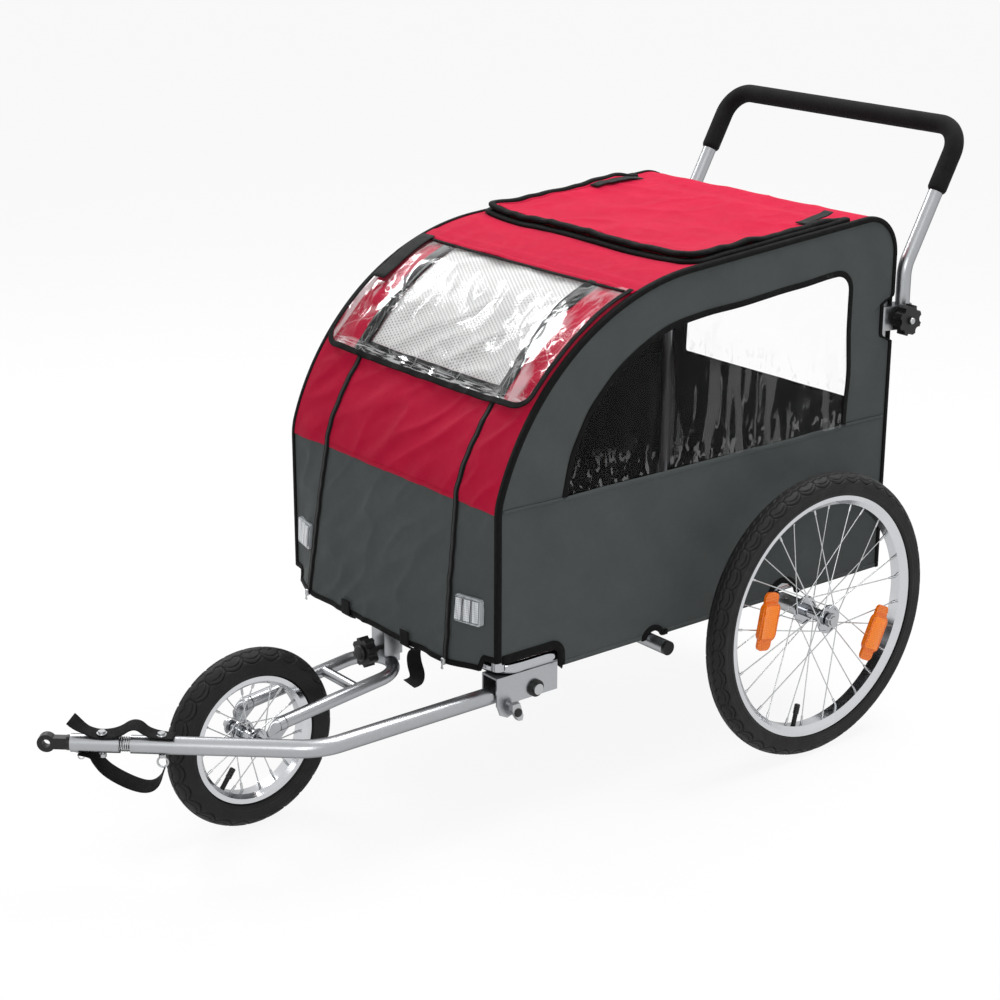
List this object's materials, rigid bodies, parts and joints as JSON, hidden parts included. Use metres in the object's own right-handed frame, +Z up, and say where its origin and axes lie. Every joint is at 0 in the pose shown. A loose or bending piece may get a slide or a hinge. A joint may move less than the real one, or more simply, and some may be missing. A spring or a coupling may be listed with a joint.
{
  "type": "dog bike trailer",
  "caption": "Fabric-cabin dog trailer with an arched cover, zipped front door, spoked side wheels, push handle, jogger wheel on a fork and a folding tow bar with spring hitch.",
  "frame": {"origin": "on the ground under the middle of the trailer's bounding box", "axes": "+X forward to the hitch, +Y to the trailer's left, +Z up"},
  "size_m": [1.6678, 0.8094, 1.0435],
  "materials": {
    "chrome_tube": "bright plated tube",
    "silver_tube": "silver satin tube",
    "zinc_steel": "zinc plated steel",
    "alloy_rim": "satin alloy",
    "tyre_rubber": "black moulded tyre",
    "tube_rubber": "black rubber",
    "black_plastic": "black moulded plastic",
    "foam_grip": "black foam",
    "grey_fabric": "dark grey coated polyester",
    "red_fabric": "red coated polyester",
    "clear_film": "clear flexible film",
    "pale_mesh": "pale insect mesh",
    "floor_board": "black floor board",
    "clear_reflector": "clear prism reflector",
    "amber_reflector": "amber prism reflector",
    "black_webbing": "black webbing"
  },
  "bodies": {
    "chassis": {"base_frame": "chrome_tube", "cross_tubes": "chrome_tube", "cross_tube_plugs": "black_plastic", "axle_receivers": "chrome_tube", "rear_axles": "zinc_steel", "floor_panel": "floor_board", "side_hoops": "silver_tube", "roof_bars": "silver_tube", "left_side_panel": "grey_fabric", "right_side_panel": "grey_fabric", "windows": "clear_film", "rear_panel": "grey_fabric", "roof_panel": "red_fabric", "front_strips": "red_fabric", "front_reflectors": "clear_reflector", "handle_clamps": "zinc_steel", "fork_sleeve": "zinc_steel", "tow_bracket": "zinc_steel", "tow_pivot_bolt": "zinc_steel", "tow_bush": "black_plastic", "pull_strap": "black_webbing"},
    "left_wheel": {"left_rim": "alloy_rim", "left_tyre": "tyre_rubber", "left_inner_tube": "tube_rubber", "left_hub": "zinc_steel", "left_spokes": "zinc_steel", "left_spoke_reflectors": "amber_reflector"},
    "right_wheel": {"right_rim": "alloy_rim", "right_tyre": "tyre_rubber", "right_inner_tube": "tube_rubber", "right_hub": "zinc_steel", "right_spokes": "zinc_steel", "right_spoke_reflectors": "amber_reflector"},
    "left_button": {"left_release_button": "zinc_steel"},
    "right_button": {"right_release_button": "zinc_steel"},
    "fork": {"fork_frame": "silver_tube", "front_axle": "zinc_steel"},
    "front_wheel": {"front_rim": "alloy_rim", "front_tyre": "tyre_rubber", "front_inner_tube": "tube_rubber", "front_hub": "zinc_steel", "front_spokes": "zinc_steel"},
    "fork_clamp": {"fork_knob": "black_plastic"},
    "tow_bar": {"tow_tube": "silver_tube", "rear_strap_bolt": "zinc_steel", "hitch_spring": "zinc_steel", "safety_strap": "black_webbing", "safety_loop": "black_webbing"},
    "hitch": {"hitch_tube": "silver_tube", "hitch_eye": "black_plastic", "front_strap_bolt": "zinc_steel"},
    "lock_pin": {"tow_lock_pin": "black_plastic"},
    "handle": {"handle_tube": "silver_tube", "handle_grip": "foam_grip"},
    "left_knob": {"left_handle_knob": "black_plastic"},
    "right_knob": {"right_handle_knob": "black_plastic"},
    "front_door": {"door_panel": "red_fabric", "door_mesh": "pale_mesh"},
    "clear_flap": {"rain_flap": "clear_film"},
    "sun_hatch": {"roof_hatch": "red_fabric"}
  },
  "joints": [
    {"name": "left_wheel_spin", "type": "hinge", "parent": "chassis", "child": "left_wheel", "pos_m": [-0.4235, 0.364, 0.25], "axis": [0, 1, 0], "continuous": true},
    {"name": "right_wheel_spin", "type": "hinge", "parent": "chassis", "child": "right_wheel", "pos_m": [-0.4235, -0.364, 0.25], "axis": [0, 1, 0], "continuous": true},
    {"name": "left_release", "type": "slide", "parent": "chassis", "child": "left_button", "axis": [0, -1, 0], "range_m": [0, 0.003], "stiffness_N_per_m": 600},
    {"name": "right_release", "type": "slide", "parent": "chassis", "child": "right_button", "axis": [0, 1, 0], "range_m": [0, 0.003], "stiffness_N_per_m": 600},
    {"name": "fork_drop", "type": "slide", "parent": "chassis", "child": "fork", "axis": [0, 0, 1], "range_m": [-0.06, 0]},
    {"name": "front_wheel_spin", "type": "hinge", "parent": "fork", "child": "front_wheel", "pos_m": [0.4825, 0, 0.149], "axis": [0, 1, 0], "continuous": true},
    {"name": "fork_knob_turn", "type": "hinge", "parent": "chassis", "child": "fork_clamp", "pos_m": [0.2565, 0, 0.237], "axis": [1, 0, 0], "range_deg": [-180, 180]},
    {"name": "tow_fold", "type": "hinge", "parent": "chassis", "child": "tow_bar", "pos_m": [0.1165, 0.25, 0.228], "axis": [0, 1, 0], "range_deg": [0, 165]},
    {"name": "hitch_flex", "type": "hinge", "parent": "tow_bar", "child": "hitch", "pos_m": [0.73087, 0.05428, 0.228], "axis": [0, 0, 1], "range_deg": [-30, 30], "stiffness_Nm_per_rad": 12, "deforming": ["hitch_spring", "safety_strap", "safety_loop"]},
    {"name": "lock_pin_pull", "type": "slide", "parent": "chassis", "child": "lock_pin", "axis": [0, 1, 0], "range_m": [0, 0.012], "stiffness_N_per_m": 300},
    {"name": "handle_height", "type": "slide", "parent": "chassis", "child": "handle", "axis": [0, 0, 1], "range_m": [-0.045, 0.02]},
    {"name": "left_knob_turn", "type": "hinge", "parent": "chassis", "child": "left_knob", "pos_m": [-0.67235, 0.3, 0.715], "axis": [0, 1, 0], "range_deg": [-180, 180]},
    {"name": "right_knob_turn", "type": "hinge", "parent": "chassis", "child": "right_knob", "pos_m": [-0.67235, -0.3, 0.715], "axis": [0, 1, 0], "range_deg": [-180, 180]},
    {"name": "door_lift", "type": "hinge", "parent": "chassis", "child": "front_door", "pos_m": [-0.0765, 0, 0.8435], "axis": [0, -1, 0], "range_deg": [0, 75]},
    {"name": "flap_lift", "type": "hinge", "parent": "front_door", "child": "clear_flap", "pos_m": [-0.07276, 0, 0.84356], "axis": [0, -1, 0], "range_deg": [0, 50]},
    {"name": "hatch_lift", "type": "hinge", "parent": "chassis", "child": "sun_hatch", "pos_m": [-0.55333, 0, 0.89589], "axis": [0, -1, 0], "range_deg": [0, 100]}
  ]
}
